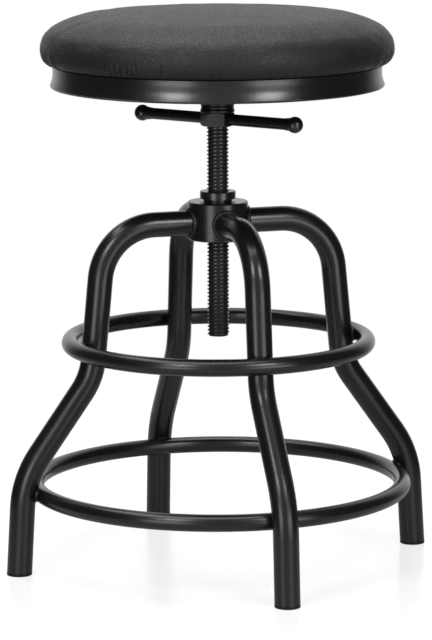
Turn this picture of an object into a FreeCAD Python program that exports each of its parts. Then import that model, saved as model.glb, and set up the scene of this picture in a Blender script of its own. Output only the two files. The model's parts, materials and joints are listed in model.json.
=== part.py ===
import FreeCAD, Part
import math
import os
from FreeCAD import Vector

# Swivel counter stool in millimetres: +Z up, origin on the floor under the lift screw, front leg towards -Y.

# Clearances
FIT = 0.05                # radial play of a shaft or plug in its hole, and of a welded joint
SOFT_GAP = 0.3            # between the foam and its cover
THREAD_GAP = 0.35         # between the flanks of the screw and of the nut
BALL_GAP = 0.1            # round each bearing ball
SWIVEL_PLAY = 0.3         # between the swivel and what turns against it

# Frame tubes
LEG_D = 25.4
LEG_WALL = 1.5
RING_D = 17.0
RING_WALL = 1.2
RING_SADDLE = 1.8         # depth of the notch that seats a ring on each leg
UPPER_RING_Z = 225.8
LOWER_RING_Z = 80.0

# Leg path, as corners at a reach from the lift axis and a height, rounded by bends
LEG_AXIS_Z = 347.8        # where the leg leaves the hub
SHOULDER_REACH = 118.7
KNEE_REACH = 133.6
KNEE_Z = 197.2
ANKLE_REACH = 205.5
ANKLE_Z = 97.2
FOOT_REACH = 211.4
SHOULDER_BEND_R = 57.0
KNEE_BEND_R = 67.0
ANKLE_BEND_R = 100.0
LEG_ANGLES = {"right": 0.0, "back": 90.0, "left": 180.0, "front": 270.0}

# Foot plugs
PLUG_RIM_H = 3.0
PLUG_INSERT_H = 18.0
PLUG_WALL = 2.0
PLUG_EDGE_R = 0.8

# Welds
HUB_WELD_W = 3.5          # along the leg
HUB_WELD_H = 2.7          # up the hub's wall
RING_WELD = 1.0           # past the ring's own radius

# Hub and lift nut
HUB_D = 61.0
HUB_H = 38.3
HUB_BELOW_LEG = 17.3      # from the leg's axis down to the hub's lower face
HUB_CHAMFER = 1.0
NUT_WALL = 3.5            # outside the screw's crests
NUT_RECESS = 2.0          # nut's lower face above the hub's
NECK_H = 2.9
COLLAR_OUT = 3.6          # past the nut's barrel
COLLAR_H = 7.5
COLLAR_CHAMFER = 0.8

# Lift screw
SCREW_D = 22.0
SCREW_PITCH = 3.8
THREAD_DEPTH = 1.5
THREAD_CREST = 1.1
THREAD_FLANK = 15.0       # degrees
SCREW_BELOW_HUB = 98.8
SCREW_END_CHAMFER = 1.5
HEX_ABOVE_COLLAR = 65.6   # how far the seat can still be lowered
HEX_WALL = 5.0            # from the spindle to the hexagon's flats
HEX_COVER = 1.2           # over and under the bar
HEX_CHAMFER = 30.0        # degrees
SPINDLE_STEP = 1.0        # spindle's radius under that of the screw
STUD_STEP = 2.0           # top stud's radius under that of the spindle

# Turning bar
BAR_D = 11.6
BAR_ANGLE = -55.0         # degrees from +X
BALL_END_D = 16.5
BALL_END_REACH = 95.3     # lift axis to the ball's centre
BALL_NECK_L = 5.0
BALL_NECK_OUT = 1.05      # past the bar, where the neck runs into the ball
BAR_STUD_STEP = 2.25      # stud's radius under that of the bar
BAR_STUD_L = 9.0

# Thrust bearing
RACE_W = 7.2
RACE_H = 3.0
RACE_CHAMFER = 0.4
GROOVE = 0.4              # how deep each ball sits in a race
BALL_D = 4.8
BALL_COUNT = 12
CAGE_H = 1.8
CAGE_RIM = 0.6            # cage's setback from the races' edges

# Swivel under the seat
SOCKET_H = 38.9
SOCKET_WALL = 5.0
BUSH_WALL = 3.0
WASHER_W = 9.0
WASHER_T = 2.5
RETAINER_WALL = 4.0       # from the stud to the nut's flats
RETAINER_H = 8.0
STUD_PROUD = 0.7          # stud's end past the retaining nut
PLATE_D = 150.0
PLATE_T = 4.0
PLATE_BOLT_INSET = 20.0
PLATE_BOLT_COUNT = 4
PLATE_BOLT_D = 6.0
PLATE_BOLT_AF = 10.0
PLATE_BOLT_HEAD_H = 4.0
TEE_NUT_D = 9.0
TEE_NUT_L = 8.0
TEE_FLANGE_D = 19.0
TEE_FLANGE_T = 1.2

# Padded seat
SEAT_D = 354.0
TUCK_H = 16.2             # seam to the widest line
TUCK_IN = 12.3            # widest line to the seam, inwards
EDGE_ROLL_R = 25.0
EDGE_ROLL_END = 59.0      # degrees up from level
SHOULDER_R = 91.5
SHOULDER_END = 84.3       # degrees up from level
COVER_T = 1.2
HEM_W = 13.4
BOARD_INSET = 1.7         # inside the lowest line of the tuck
BOARD_T = 12.0
BOARD_HOLE_PLAY = 3.0     # round the retaining washer

# Seat rim
RIM_PROUD = 0.6           # outside the lowest line of the tuck
RIM_H = 22.0
RIM_T = 1.5
RIM_WAIST = 0.8           # how far the wall draws in
RIM_WAIST_Z = 7.0         # below the top edge
LIP_OUT = 2.0
LIP_R = 2.6
RIM_FLANGE_W = 32.0
RIM_SCREW_COUNT = 6
RIM_SCREW_D = 4.0
RIM_SCREW_COVER = 3.7     # board left above the screws' tips
RIM_SCREW_HEAD_D = 8.0
RIM_SCREW_HEAD_H = 2.2

# Heights and radii that follow from the sizes above
leg_r = LEG_D / 2
ring_r = RING_D / 2
hub_r = HUB_D / 2
hub_low = LEG_AXIS_Z - HUB_BELOW_LEG
hub_top = hub_low + HUB_H
screw_r = SCREW_D / 2
nut_r = screw_r + NUT_WALL
nut_low = hub_low + NUT_RECESS
collar_low = hub_top + NECK_H
collar_top = collar_low + COLLAR_H
screw_low = hub_low - SCREW_BELOW_HUB
spindle_r = screw_r - SPINDLE_STEP
stud_r = spindle_r - STUD_STEP
hex_flat_r = spindle_r + HEX_WALL
hex_low = collar_top + HEX_ABOVE_COLLAR
bar_r = BAR_D / 2
bar_z = hex_low + HEX_COVER + bar_r
hex_top = bar_z + bar_r + HEX_COVER
neck_reach = BALL_END_REACH - BALL_END_D / 2 - BALL_NECK_L
bearing_r = spindle_r + RACE_W
ball_r = BALL_D / 2
ball_z = hex_top + RACE_H + ball_r - GROOVE
ball_circle_r = spindle_r + RACE_W / 2
upper_race_low = ball_z + ball_r - GROOVE
bearing_top = upper_race_low + RACE_H
bush_r = spindle_r + FIT + BUSH_WALL
socket_r = bush_r + FIT + SOCKET_WALL
board_low = bearing_top + SOCKET_H
board_top = board_low + BOARD_T
plate_r = PLATE_D / 2
plate_low = board_low - PLATE_T
bolt_circle_r = plate_r - PLATE_BOLT_INSET
washer_r = stud_r + WASHER_W
washer_low = board_low + SWIVEL_PLAY
retainer_low = washer_low + WASHER_T
retainer_top = retainer_low + RETAINER_H
seam_z = board_low - COVER_T
seat_r = SEAT_D / 2
wide_z = seam_z + TUCK_H
tuck_r = seat_r - TUCK_IN
tuck_arc_r = (TUCK_H ** 2 + TUCK_IN ** 2) / (2 * TUCK_IN)
hem_r = tuck_r - HEM_W
board_r = tuck_r - BOARD_INSET
rim_r = tuck_r + RIM_PROUD
rim_low = seam_z - RIM_H
flange_r = rim_r - RIM_FLANGE_W
flange_low = seam_z - RIM_T
rim_screw_circle_r = (flange_r + hem_r) / 2
rim_screw_top = board_top - RIM_SCREW_COVER

ORIGIN = Vector(0, 0, 0)
UP = Vector(0, 0, 1)
TURNS_PER_RUN = 4         # turns of thread swept in one piece
RIDGE_ROOT = 0.25         # how deep a thread ridge runs into its core


def at(reach, z):
    """The point of the XZ plane at a reach from the lift axis and a height."""
    return Vector(reach, 0, z)


def on_circle(centre, radius, degrees):
    """The point of a circle in the XZ plane at an angle up from level."""
    angle = math.radians(degrees)
    return centre + at(radius * math.cos(angle), radius * math.sin(angle))


def cylinder(radius, low, high):
    """An upright cylinder on the lift axis."""
    return Part.makeCylinder(radius, high - low, at(0, low))


def tube(radius, bore, low, high):
    """An upright tube on the lift axis."""
    return cylinder(radius, low, high).cut(cylinder(bore, low, high))


def hexagon(across_flats, low, high, degrees=0.0):
    """An upright hexagonal bar on the lift axis, with a flat facing the given angle."""
    corner = across_flats / 2 / math.cos(math.radians(30))
    points = [Vector(corner, 0, low)]
    for i in range(1, 7):
        turn = math.radians(60 * i)
        points.append(Vector(corner * math.cos(turn), corner * math.sin(turn), low))
    bar = Part.Face(Part.makePolygon(points)).extrude(UP * (high - low))
    bar.rotate(ORIGIN, UP, degrees + 30)
    return bar


def turned(shape, degrees):
    """A copy of a shape, turned about the lift axis."""
    copy = shape.copy()
    copy.rotate(ORIGIN, UP, degrees)
    return copy


def around(shape, count, first=0.0):
    """Copies of a shape, evenly spaced about the lift axis."""
    return [turned(shape, first + 360 * i / count) for i in range(count)]


def moved(shape, reach):
    """A copy of a shape, moved out from the lift axis."""
    copy = shape.copy()
    copy.translate(at(reach, 0))
    return copy


def slab(low, high):
    """All the space between two heights, wider than the stool."""
    reach = 2 * FOOT_REACH
    return Part.makeBox(2 * reach, 2 * reach, high - low, Vector(-reach, -reach, low))


def line(start, end):
    """A straight edge."""
    return Part.LineSegment(start, end).toShape()


def arc(start, middle, end):
    """A round edge through three points."""
    return Part.Arc(start, middle, end).toShape()


def revolved(edges):
    """The solid that a closed outline in the XZ plane makes about the lift axis."""
    return Part.Face(Part.Wire(edges)).revolve(ORIGIN, UP, 360)


def outlined(corners):
    """The solid that a closed outline of straight lines makes about the lift axis."""
    return revolved(Part.makePolygon(corners + corners[:1]).Edges)


def save(node, shape):
    """Writes one named piece, or one group of like pieces, to its own file."""
    solids = shape.Solids
    assert solids and all(s.isValid() for s in solids), node
    whole = solids[0] if len(solids) == 1 else Part.makeCompound(solids)
    whole.exportStep(f"parts/{node}.step")
    print(f"{node}: {len(solids)} solid(s), {whole.Volume / 1000:.2f} cm3")


# Bent legs
def leg_runs():
    """The leg's axis as straight runs and tangent bends, from the lift axis to below the floor."""
    slope = (FOOT_REACH - ANKLE_REACH) / ANKLE_Z
    below = 2 * PLUG_RIM_H + LEG_D
    corners = [
        at(0, LEG_AXIS_Z),
        at(SHOULDER_REACH, LEG_AXIS_Z),
        at(KNEE_REACH, KNEE_Z),
        at(ANKLE_REACH, ANKLE_Z),
        at(FOOT_REACH + slope * below, -below),
    ]
    bends = [SHOULDER_BEND_R, KNEE_BEND_R, ANKLE_BEND_R]
    runs = []
    start = corners[0]
    for before, corner, after, radius in zip(corners, corners[1:], corners[2:], bends):
        into = (corner - before).normalize()
        out = (after - corner).normalize()
        turn = into.getAngle(out)
        setback = radius * math.tan(turn / 2)
        first = corner - into * setback
        axis = into.cross(out).normalize()
        centre = first + axis.cross(into) * radius
        runs.append(("straight", start, first))
        runs.append(("bend", first, into, centre, axis, math.degrees(turn)))
        start = corner + out * setback
    runs.append(("straight", start, corners[-1]))
    return runs


def leg_rod(radius):
    """A solid round rod along the whole leg path."""
    pieces = []
    for kind, start, *rest in leg_runs():
        along = rest[0] - start if kind == "straight" else rest[0]
        disc = Part.Face(Part.Wire(Part.makeCircle(radius, start, along)))
        if kind == "straight":
            pieces.append(disc.extrude(along))
        else:
            pieces.append(disc.revolve(*rest[1:]))
    return pieces[0].multiFuse(pieces[1:]).removeSplitter().Solids[0]


def leg_reach(z):
    """How far the leg's axis is from the lift axis at a height under the shoulder."""
    edges = []
    for kind, start, *rest in leg_runs():
        if kind == "straight":
            edges.append(line(start, rest[0]))
        else:
            point = Part.Vertex(start)
            edges.append(point.revolve(*rest[1:]))
    level = line(at(0, z), at(2 * FOOT_REACH, z))
    touches = Part.makeCompound(edges).distToShape(level)[1]
    return touches[0][0].x


def hub_cutter():
    """The space that the hub takes from what is welded to it, and all above and below it."""
    return cylinder(hub_r + FIT, hub_low - LEG_D, hub_top + LEG_D)


def leg(outer, inner):
    """A leg tube, coped to the hub and cut level above its foot plug."""
    return outer.cut(inner).cut(hub_cutter()).common(slab(PLUG_RIM_H, hub_top + LEG_D))


def foot_plug(outer):
    """A moulded plug: a rim flush with the tube and a hollow insert inside it."""
    bore_r = leg_r - LEG_WALL
    insert_top = PLUG_RIM_H + PLUG_INSERT_H
    rim = outer.common(slab(0, PLUG_RIM_H))
    insert = leg_rod(bore_r - FIT).common(slab(PLUG_RIM_H, insert_top))
    hollow = leg_rod(bore_r - FIT - PLUG_WALL).common(slab(PLUG_RIM_H, insert_top))
    plug = rim.fuse(insert.cut(hollow)).removeSplitter().Solids[0]
    floor_edges = [e for e in plug.Edges if e.BoundBox.ZMax < FIT]
    return plug.makeFillet(PLUG_EDGE_R, floor_edges)


# Rings and welds
def ring_torus(radius, z, section_r):
    """A ring of round section about the lift axis."""
    return Part.makeTorus(radius, section_r, at(0, z))


def foot_ring(radius, z, leg_cutters):
    """A ring of tube, notched where it seats on the legs."""
    hoop = ring_torus(radius, z, ring_r).cut(ring_torus(radius, z, ring_r - RING_WALL))
    return hoop.cut(leg_cutters)


def ring_welds(contact_reach, ring_radius, z, leg_cutter):
    """Four beads in the hollows between a ring and the legs that it crosses."""
    bead = Part.makeSphere(ring_r + RING_WELD, at(contact_reach, z))
    bead = bead.cut(ring_torus(ring_radius, z, ring_r + FIT)).cut(leg_cutter)
    return Part.makeCompound([turned(bead, a) for a in LEG_ANGLES.values()])


def hub_welds(leg_cutter):
    """Four fillet beads round the legs where they meet the hub."""
    side = hub_r - math.sqrt(hub_r ** 2 - leg_r ** 2)
    run = HUB_WELD_W + side
    rise = HUB_WELD_H * run / HUB_WELD_W
    start = at(hub_r - side, LEG_AXIS_Z)
    cone = Part.makeCone(leg_r + FIT + rise, leg_r + 2 * FIT, run, start, Vector(1, 0, 0))
    bead = cone.cut(leg_cutter).cut(hub_cutter())
    return Part.makeCompound([turned(bead, a) for a in LEG_ANGLES.values()])


# Hub, nut and screw
def hub():
    """The welded barrel that carries the lift nut."""
    barrel = cylinder(hub_r, hub_low, hub_top)
    rims = [e for e in barrel.Edges if e.Length > hub_r and e.Closed]
    return barrel.makeChamfer(HUB_CHAMFER, rims).cut(cylinder(nut_r + FIT, hub_low, hub_top))


def thread(low, high, gap):
    """A screw from one height to the other: a core and its helical ridge, both grown by a gap."""
    root_r = screw_r - THREAD_DEPTH + gap
    flank = math.radians(THREAD_FLANK)
    inner_r = root_r - RIDGE_ROOT
    outer_r = screw_r + gap

    def half_width(radius):
        return THREAD_CREST / 2 + (screw_r - radius) * math.tan(flank) + gap / math.cos(flank)

    corners = [
        at(inner_r, -half_width(inner_r)),
        at(outer_r, -half_width(outer_r)),
        at(outer_r, half_width(outer_r)),
        at(inner_r, half_width(inner_r)),
    ]
    section = Part.makePolygon(corners + corners[:1])
    helix = Part.makeHelix(SCREW_PITCH, SCREW_PITCH * TURNS_PER_RUN, root_r)
    sweep = Part.BRepOffsetAPI.MakePipeShell(Part.Wire(helix.Edges))
    sweep.setBiNormalMode(UP)
    sweep.add(section)
    sweep.build()
    sweep.makeSolid()
    run_h = SCREW_PITCH * TURNS_PER_RUN
    first = math.floor((low - SCREW_PITCH) / run_h)
    last = math.ceil((high + SCREW_PITCH) / run_h)
    core = cylinder(root_r, first * run_h - SCREW_PITCH, last * run_h + SCREW_PITCH)
    ridges = []
    for i in range(first, last):
        ridge = sweep.shape().copy()
        ridge.translate(UP * (i * run_h))
        ridges.append(ridge)
    return core.multiFuse(ridges)


def lift_nut():
    """A threaded barrel in the hub, with a round collar standing clear of the hub's top."""
    rim_z = collar_top - COLLAR_CHAMFER
    edge_r = nut_r + COLLAR_OUT
    blank = outlined([
        at(0, nut_low),
        at(nut_r, nut_low),
        at(nut_r, collar_low),
        at(edge_r, collar_low),
        at(edge_r, rim_z),
        at(edge_r - COLLAR_CHAMFER, collar_top),
        at(0, collar_top),
    ])
    return blank.cut(thread(nut_low, collar_top, THREAD_GAP))


def bar_hole():
    """The space that the turning bar runs in, through the screw's head."""
    reach = 2 * hex_flat_r
    hole = Part.makeCylinder(bar_r + FIT, 2 * reach, at(-reach, bar_z), Vector(1, 0, 0))
    return turned(hole, BAR_ANGLE)


def lift_screw():
    """The threaded screw, its plain spindle and the stud that holds the seat down."""
    clear = SCREW_END_CHAMFER + THREAD_DEPTH
    envelope = outlined([
        at(0, screw_low),
        at(screw_r - SCREW_END_CHAMFER, screw_low),
        at(screw_r - SCREW_END_CHAMFER + clear, screw_low + clear),
        at(screw_r - SCREW_END_CHAMFER + clear, hex_low),
        at(0, hex_low),
    ])
    threaded = thread(screw_low, hex_low, 0.0).common(envelope)
    spindle = cylinder(spindle_r, hex_low, washer_low)
    stud = cylinder(stud_r, washer_low, retainer_top + STUD_PROUD)
    return threaded.multiFuse([spindle, stud]).cut(bar_hole())


def hex_head():
    """The hexagonal head, with chamfered corners and a cross hole for the bar."""
    corner_r = hex_flat_r / math.cos(math.radians(30))
    drop = (corner_r - hex_flat_r) * math.tan(math.radians(HEX_CHAMFER))
    rounding = outlined([
        at(0, hex_low),
        at(hex_flat_r, hex_low),
        at(corner_r, hex_low + drop),
        at(corner_r, hex_top - drop),
        at(hex_flat_r, hex_top),
        at(0, hex_top),
    ])
    block = hexagon(2 * hex_flat_r, hex_low, hex_top, BAR_ANGLE).common(rounding)
    return block.cut(cylinder(spindle_r + FIT, hex_low, hex_top)).cut(bar_hole())


# Turning bar
def along_bar(shape):
    """Turns a piece built along +X to the bar's place."""
    shape.translate(UP * bar_z)
    shape.rotate(ORIGIN, UP, BAR_ANGLE)
    return shape


def tommy_bar():
    """The round bar, with a stud at each end for its ball."""
    rod = Part.makeCylinder(bar_r, 2 * neck_reach, at(-neck_reach, 0), Vector(1, 0, 0))
    stud_reach = neck_reach + BAR_STUD_L
    stud = Part.makeCylinder(bar_r - BAR_STUD_STEP, 2 * stud_reach, at(-stud_reach, 0), Vector(1, 0, 0))
    return along_bar(rod.fuse(stud))


def ball_end():
    """A ball with a tapered neck, bored for the bar's stud, on the bar's right end."""
    ball = at(BALL_END_REACH, 0)
    radius = BALL_END_D / 2
    bore_r = bar_r - BAR_STUD_STEP + FIT
    bore_end = neck_reach + BAR_STUD_L + FIT
    neck_turn = 180 - math.degrees(math.asin((bar_r + BALL_NECK_OUT) / radius))
    neck = on_circle(ball, radius, neck_turn)
    tip = on_circle(ball, radius, 0)
    corners = [at(bore_end, 0), at(bore_end, bore_r), at(neck_reach, bore_r), at(neck_reach, bar_r), neck]
    edges = [line(a, b) for a, b in zip(corners, corners[1:])]
    edges += [arc(neck, on_circle(ball, radius, neck_turn / 2), tip), line(tip, corners[0])]
    return along_bar(Part.Face(Part.Wire(edges)).revolve(ORIGIN, Vector(1, 0, 0), 360))


# Thrust bearing and swivel
def race(low, bore_r):
    """A bearing washer with a groove for the balls and softened outer edges."""
    high = low + RACE_H
    ring = outlined([
        at(bore_r, low),
        at(bearing_r - RACE_CHAMFER, low),
        at(bearing_r, low + RACE_CHAMFER),
        at(bearing_r, high - RACE_CHAMFER),
        at(bearing_r - RACE_CHAMFER, high),
        at(bore_r, high),
    ])
    return ring.cut(ring_torus(ball_circle_r, ball_z, ball_r + BALL_GAP))


def ball_cage():
    """A flat ring with a pocket for each ball."""
    bore_r = spindle_r + FIT + CAGE_RIM
    ring = tube(bearing_r - CAGE_RIM, bore_r, ball_z - CAGE_H / 2, ball_z + CAGE_H / 2)
    pocket = moved(cylinder(ball_r + BALL_GAP, ball_z - CAGE_H, ball_z + CAGE_H), ball_circle_r)
    return ring.cut(around(pocket, BALL_COUNT))


def bearing_balls():
    """The loose balls in their cage."""
    return Part.makeCompound(around(Part.makeSphere(ball_r, at(ball_circle_r, ball_z)), BALL_COUNT))


def retaining_nut():
    """The nut on the spindle's stud that keeps the seat from lifting off."""
    block = hexagon(2 * (stud_r + RETAINER_WALL), retainer_low, retainer_top)
    return block.cut(cylinder(stud_r + FIT, retainer_low, retainer_top))


def seat_plate():
    """The round steel plate under the board, welded about the swivel socket."""
    bolt_hole = moved(cylinder(PLATE_BOLT_D / 2 + FIT, plate_low, board_low), bolt_circle_r)
    plate = tube(plate_r, socket_r + FIT, plate_low, board_low)
    return plate.cut(around(bolt_hole, PLATE_BOLT_COUNT, 45))


def plate_bolts():
    """Hexagon bolts up through the plate into the tee nuts."""
    head = hexagon(PLATE_BOLT_AF, plate_low - PLATE_BOLT_HEAD_H, plate_low)
    shank = cylinder(PLATE_BOLT_D / 2, plate_low, board_top - TEE_FLANGE_T)
    bolt = moved(head.fuse(shank), bolt_circle_r)
    return Part.makeCompound(around(bolt, PLATE_BOLT_COUNT, 45))


def tee_nuts():
    """Flanged nuts let into the board from above."""
    barrel = cylinder(TEE_NUT_D / 2, board_top - TEE_NUT_L, board_top)
    flange = cylinder(TEE_FLANGE_D / 2, board_top - TEE_FLANGE_T, board_top)
    bore = cylinder(PLATE_BOLT_D / 2 + FIT, board_top - TEE_NUT_L, board_top)
    nut = moved(barrel.fuse(flange).cut(bore), bolt_circle_r)
    return Part.makeCompound(around(nut, PLATE_BOLT_COUNT, 45))


# Padded seat
def crown(inset):
    """The cushion's outline from under the tuck to the top, as edges, drawn in by an inset."""
    tuck = at(seat_r - tuck_arc_r, wide_z)
    tuck_end = -math.degrees(math.asin((TUCK_H - inset) / (tuck_arc_r - inset)))
    roll = at(seat_r - EDGE_ROLL_R, wide_z)
    shoulder = on_circle(roll, EDGE_ROLL_R - SHOULDER_R, EDGE_ROLL_END)
    last = on_circle(shoulder, SHOULDER_R, SHOULDER_END)
    crown_r = last.x / math.cos(math.radians(SHOULDER_END))
    middle = at(0, last.z - crown_r * math.sin(math.radians(SHOULDER_END)))
    edges = []
    for centre, radius, low, high in (
        (tuck, tuck_arc_r, tuck_end, 0),
        (roll, EDGE_ROLL_R, 0, EDGE_ROLL_END),
        (shoulder, SHOULDER_R, EDGE_ROLL_END, SHOULDER_END),
        (middle, crown_r, SHOULDER_END, 90),
    ):
        points = [on_circle(centre, radius - inset, a) for a in (low, (low + high) / 2, high)]
        edges.append(arc(*points))
    return edges


def ends(edges):
    """The first and last points of a run of edges."""
    return edges[0].firstVertex().Point, edges[-1].lastVertex().Point


def seat_cover():
    """The upholstery skin: crowned on top, rolled at the edge and hemmed under the board."""
    outside = crown(0)
    inside = crown(COVER_T)
    out_low, out_top = ends(outside)
    in_low, in_top = ends(inside)
    hem_out = at(hem_r, out_low.z)
    hem_in = at(hem_r, in_low.z)
    edges = [line(hem_out, out_low)] + outside + [line(out_top, in_top)]
    edges += inside[::-1] + [line(in_low, hem_in), line(hem_in, hem_out)]
    return revolved(edges)


def seat_foam():
    """The foam between the board and the cover, wrapped down over the board's edge."""
    inside = crown(COVER_T + SOFT_GAP)
    low, top = ends(inside)
    edge = at(board_r + FIT, low.z)
    corner = at(board_r + FIT, board_top)
    middle = at(0, board_top)
    return revolved(inside + [line(top, middle), line(middle, corner), line(corner, edge), line(edge, low)])


def seat_board():
    """The plywood disc, drilled for the swivel, the plate's tee nuts and the rim's screws."""
    board = tube(board_r, washer_r + BOARD_HOLE_PLAY, board_low, board_top)
    barrel = cylinder(TEE_NUT_D / 2 + FIT, board_low, board_top)
    recess = cylinder(TEE_FLANGE_D / 2 + FIT, board_top - TEE_FLANGE_T, board_top)
    nut_holes = around(moved(barrel.fuse(recess), bolt_circle_r), PLATE_BOLT_COUNT, 45)
    pilot = cylinder(RIM_SCREW_D / 2 + FIT, board_low, rim_screw_top + FIT)
    return board.cut(nut_holes + around(moved(pilot, rim_screw_circle_r), RIM_SCREW_COUNT))


def seat_rim():
    """The painted steel band: a waisted wall with a rolled lip, and a seat for the flange at its top."""
    top = at(rim_r, seam_z)
    waist = at(rim_r - RIM_WAIST, seam_z - RIM_WAIST_Z)
    lip = at(rim_r + LIP_OUT, rim_low + LIP_R)
    lip_centre = lip - at(LIP_R, 0)
    lip_foot = lip_centre - at(0, LIP_R)
    inner_lip = lip_centre - at(LIP_R, 0)
    inner_waist = waist - at(RIM_T, 0)
    inner_top = at(rim_r - RIM_T, flange_low)
    inner_edge = at(rim_r - RIM_T, seam_z)
    return revolved([
        arc(top, waist, lip),
        arc(lip, on_circle(lip_centre, LIP_R, -45), lip_foot),
        arc(lip_foot, on_circle(lip_centre, LIP_R, -135), inner_lip),
        arc(inner_lip, inner_waist, inner_top),
        line(inner_top, inner_edge),
        line(inner_edge, top),
    ])


def rim_flange():
    """The flat ring welded inside the band's top edge, drilled for the screws into the board."""
    ring = tube(rim_r - RIM_T - FIT, flange_r, flange_low, seam_z)
    hole = moved(cylinder(RIM_SCREW_D / 2 + FIT, flange_low, seam_z), rim_screw_circle_r)
    return ring.cut(around(hole, RIM_SCREW_COUNT))


def rim_screws():
    """Pan-head wood screws up through the rim's flange into the board."""
    head = cylinder(RIM_SCREW_HEAD_D / 2, flange_low - RIM_SCREW_HEAD_H, flange_low)
    lower = [e for e in head.Edges if e.Closed and e.BoundBox.ZMax < flange_low - RIM_SCREW_HEAD_H / 2]
    head = head.makeFillet(RIM_SCREW_HEAD_H / 2, lower)
    shank = cylinder(RIM_SCREW_D / 2, flange_low, rim_screw_top)
    screw = moved(head.fuse(shank), rim_screw_circle_r)
    return Part.makeCompound(around(screw, RIM_SCREW_COUNT))


# Build every piece
os.makedirs("parts", exist_ok=True)

leg_outer = leg_rod(leg_r)
leg_inner = leg_rod(leg_r - LEG_WALL)
leg_cutter = leg_rod(leg_r + FIT)
leg_cutters = [turned(leg_cutter, a) for a in LEG_ANGLES.values()]
leg_tube = leg(leg_outer, leg_inner)
plug = foot_plug(leg_outer)
for side, angle in LEG_ANGLES.items():
    save(f"leg_{side}", turned(leg_tube, angle))
    save(f"foot_plug_{side}", turned(plug, angle))

upper_contact = leg_reach(UPPER_RING_Z) + leg_r
lower_contact = leg_reach(LOWER_RING_Z) - leg_r
upper_ring_r = upper_contact + ring_r - RING_SADDLE
lower_ring_r = lower_contact - ring_r + RING_SADDLE
save("upper_ring", foot_ring(upper_ring_r, UPPER_RING_Z, leg_cutters))
save("lower_ring", foot_ring(lower_ring_r, LOWER_RING_Z, leg_cutters))
save("upper_ring_welds", ring_welds(upper_contact, upper_ring_r, UPPER_RING_Z, leg_cutter))
save("lower_ring_welds", ring_welds(lower_contact, lower_ring_r, LOWER_RING_Z, leg_cutter))
save("hub", hub())
save("hub_welds", hub_welds(leg_cutter))

save("lift_nut", lift_nut())
save("lift_screw", lift_screw())
save("hex_head", hex_head())
save("tommy_bar", tommy_bar())
save("ball_end_right", ball_end())
save("ball_end_left", turned(ball_end(), 180))

save("lower_race", race(hex_top, spindle_r + FIT))
save("upper_race", race(upper_race_low, spindle_r + SWIVEL_PLAY))
save("ball_cage", ball_cage())
save("bearing_balls", bearing_balls())
save("swivel_bush", tube(bush_r, spindle_r + FIT, bearing_top, board_low))
save("swivel_socket", tube(socket_r, bush_r + FIT, bearing_top, board_low))
save("retaining_washer", tube(washer_r, stud_r + FIT, washer_low, retainer_low))
save("retaining_nut", retaining_nut())
save("seat_plate", seat_plate())
save("plate_bolts", plate_bolts())
save("tee_nuts", tee_nuts())

save("seat_board", seat_board())
save("seat_foam", seat_foam())
save("seat_cover", seat_cover())
save("seat_rim", seat_rim())
save("rim_flange", rim_flange())
save("rim_screws", rim_screws())
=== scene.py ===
# %% [markdown]
# # A swivel counter stool and its portrait
#
# The stool has a round padded seat on a threaded screw. The screw turns in a hub
# that four bent tubes carry, and two rings tie the tubes together. Every rigid
# piece comes from the CAD frame at its true place and size. This notebook gives
# those pieces their finishes, makes the pieces that need a softer hand (the
# stuffed cushion and the weld beads), and sets up a white studio with a camera
# that stands where the photograph's stood.

# %% Load the CAD frame
import json

import bpy
import numpy as np
from mathutils import Matrix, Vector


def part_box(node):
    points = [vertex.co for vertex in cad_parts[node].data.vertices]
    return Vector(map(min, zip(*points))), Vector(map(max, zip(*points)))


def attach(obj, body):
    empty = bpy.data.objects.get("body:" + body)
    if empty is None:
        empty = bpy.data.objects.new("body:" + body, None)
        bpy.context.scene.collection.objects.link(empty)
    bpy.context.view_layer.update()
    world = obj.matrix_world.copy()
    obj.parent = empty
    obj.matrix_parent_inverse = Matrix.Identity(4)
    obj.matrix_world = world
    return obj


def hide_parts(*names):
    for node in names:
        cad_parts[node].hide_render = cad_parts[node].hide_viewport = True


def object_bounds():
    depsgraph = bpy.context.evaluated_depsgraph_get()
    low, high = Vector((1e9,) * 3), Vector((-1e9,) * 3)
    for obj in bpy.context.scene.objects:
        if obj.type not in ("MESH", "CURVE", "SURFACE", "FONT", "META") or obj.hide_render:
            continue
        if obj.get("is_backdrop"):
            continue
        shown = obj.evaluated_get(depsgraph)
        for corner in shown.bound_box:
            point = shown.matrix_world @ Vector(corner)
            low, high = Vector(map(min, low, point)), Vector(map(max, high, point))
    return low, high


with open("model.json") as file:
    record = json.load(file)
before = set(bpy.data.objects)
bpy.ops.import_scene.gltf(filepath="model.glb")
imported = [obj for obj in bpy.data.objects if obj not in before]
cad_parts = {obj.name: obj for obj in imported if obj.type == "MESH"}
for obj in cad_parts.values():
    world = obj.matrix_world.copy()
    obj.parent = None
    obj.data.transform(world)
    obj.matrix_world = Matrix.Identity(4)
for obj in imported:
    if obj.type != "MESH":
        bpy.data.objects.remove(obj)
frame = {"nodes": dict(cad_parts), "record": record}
cad_box = [list(corner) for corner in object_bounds()]
nodes = frame["nodes"]
scene = bpy.context.scene
print("CAD nodes:", len(nodes), "box:", np.round(cad_box, 4).tolist())

# %% [markdown]
# ## The camera
#
# A product picture like this one is taken from a few metres away with a long
# lens, so that the stool keeps its proportions. The camera could be aimed with a
# constraint, but fitting the legs and rings in the photograph gives a small roll
# as well. So its three axes are worked out and written into its matrix.

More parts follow.
